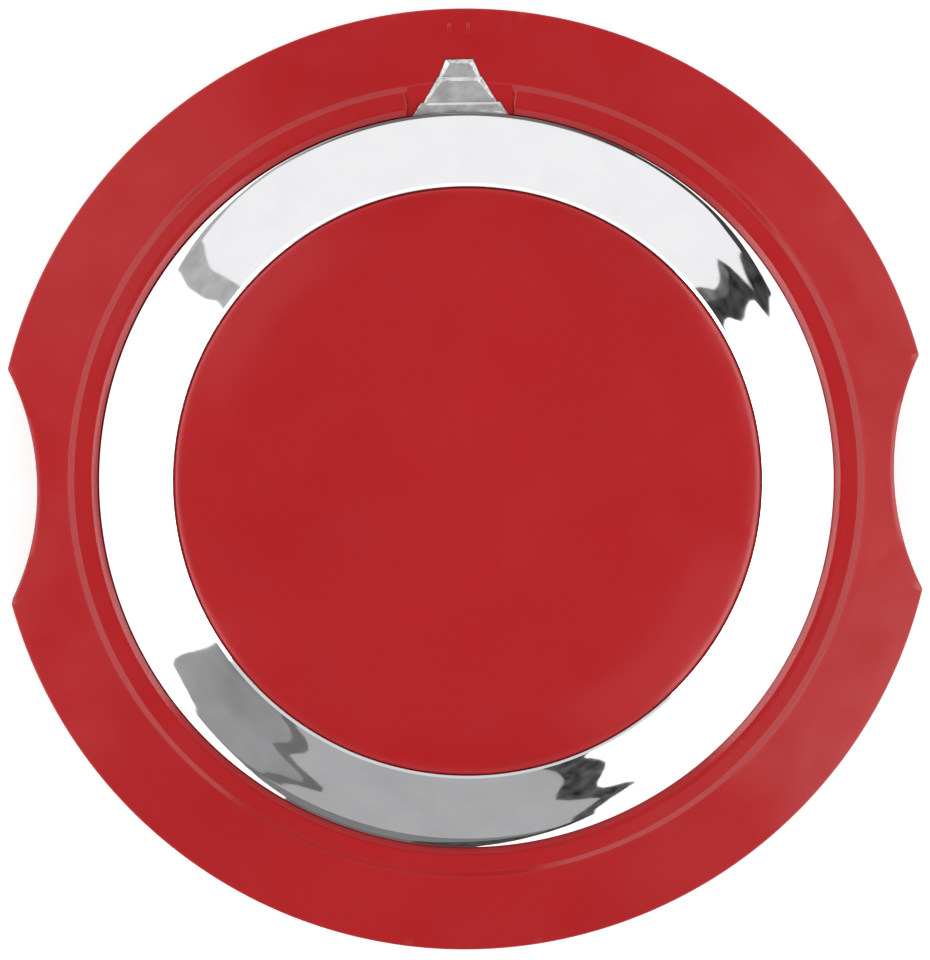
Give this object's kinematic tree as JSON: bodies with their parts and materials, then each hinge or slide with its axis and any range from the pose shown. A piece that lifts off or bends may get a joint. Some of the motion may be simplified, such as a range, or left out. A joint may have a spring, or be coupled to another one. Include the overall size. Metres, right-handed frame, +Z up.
{
  "type": "quiz buzzer",
  "caption": "Round palm-sized quiz buzzer: a domed press button in a chrome ring on a scalloped base with a light pointer, speaker and battery bay.",
  "frame": {"origin": "centre of the footprint, on the surface that the rubber feet stand on", "axes": "+Z up, along the button's stroke; +Y towards the light lens, away from the player; +X to the player's right"},
  "size_m": [0.0968, 0.1, 0.035],
  "materials": {
    "housing_red": "glossy injection-moulded red ABS",
    "cap_red": "glossy injection-moulded red ABS",
    "chrome_trim": "bright chrome plating on plastic",
    "lens_clear": "clear moulded acrylic",
    "base_black": "fine-textured black ABS",
    "carrier_natural": "natural unpainted ABS",
    "spring_steel": "bright drawn spring wire",
    "dome_silicone": "grey silicone rubber",
    "board_green": "green solder mask on glass-fibre board",
    "chip_black": "black epoxy package",
    "capacitor_sleeve": "dark shrink sleeve",
    "led_red": "tinted red epoxy lamp",
    "speaker_steel": "zinc-plated pressed steel",
    "speaker_ferrite": "sintered ferrite and steel cup",
    "speaker_paper": "black treated paper",
    "cell_jacket": "printed sleeve over a steel can",
    "contact_nickel": "nickel-plated spring steel",
    "switch_black": "moulded nylon",
    "knob_white": "moulded acetal",
    "screw_zinc": "zinc-plated steel",
    "foot_rubber": "matte dark rubber",
    "wire_red": "PVC insulation",
    "wire_black": "PVC insulation"
  },
  "bodies": {
    "base": {"upper_housing": "housing_red", "base_cover": "base_black", "return_spring": "spring_steel", "led_lens": "lens_clear", "status_led": "led_red", "circuit_board": "board_green", "switch_dome": "dome_silicone", "sound_chip": "chip_black", "capacitor": "capacitor_sleeve", "speaker_frame": "speaker_steel", "speaker_magnet": "speaker_ferrite", "speaker_cone": "speaker_paper", "battery_cell_1": "cell_jacket", "battery_cell_2": "cell_jacket", "contact_bridge": "contact_nickel", "contact_negative": "contact_nickel", "contact_positive": "contact_nickel", "power_switch_body": "switch_black", "case_screw_1": "screw_zinc", "case_screw_2": "screw_zinc", "case_screw_3": "screw_zinc", "case_screw_4": "screw_zinc", "board_screw_1": "screw_zinc", "board_screw_2": "screw_zinc", "board_screw_3": "screw_zinc", "rubber_foot_1": "foot_rubber", "rubber_foot_2": "foot_rubber", "rubber_foot_3": "foot_rubber", "rubber_foot_4": "foot_rubber", "battery_wire_red": "wire_red", "battery_wire_black": "wire_black", "speaker_wire_red": "wire_red", "speaker_wire_black": "wire_black"},
    "button": {"button_cap": "cap_red", "chrome_ring": "chrome_trim", "button_carrier": "carrier_natural"},
    "battery_door": {"battery_door": "base_black", "battery_door_screw": "screw_zinc"},
    "power_switch": {"power_switch_knob": "knob_white"}
  },
  "joints": [
    {"name": "button_press", "type": "slide", "parent": "base", "child": "button", "axis": [0, 0, -1], "range_m": [0, 0.0025], "stiffness_N_per_m": 900, "springref_m": -0.002, "deforming": ["return_spring", "switch_dome"]},
    {"name": "power_switch_slide", "type": "slide", "parent": "base", "child": "power_switch", "axis": [0, 1, 0], "range_m": [0, 0.0025]},
    {"name": "battery_door_hinge", "type": "hinge", "parent": "base", "child": "battery_door", "pos_m": [0, -0.0325, 0.0014], "axis": [-1, 0, 0], "range_deg": [0, 60]}
  ]
}
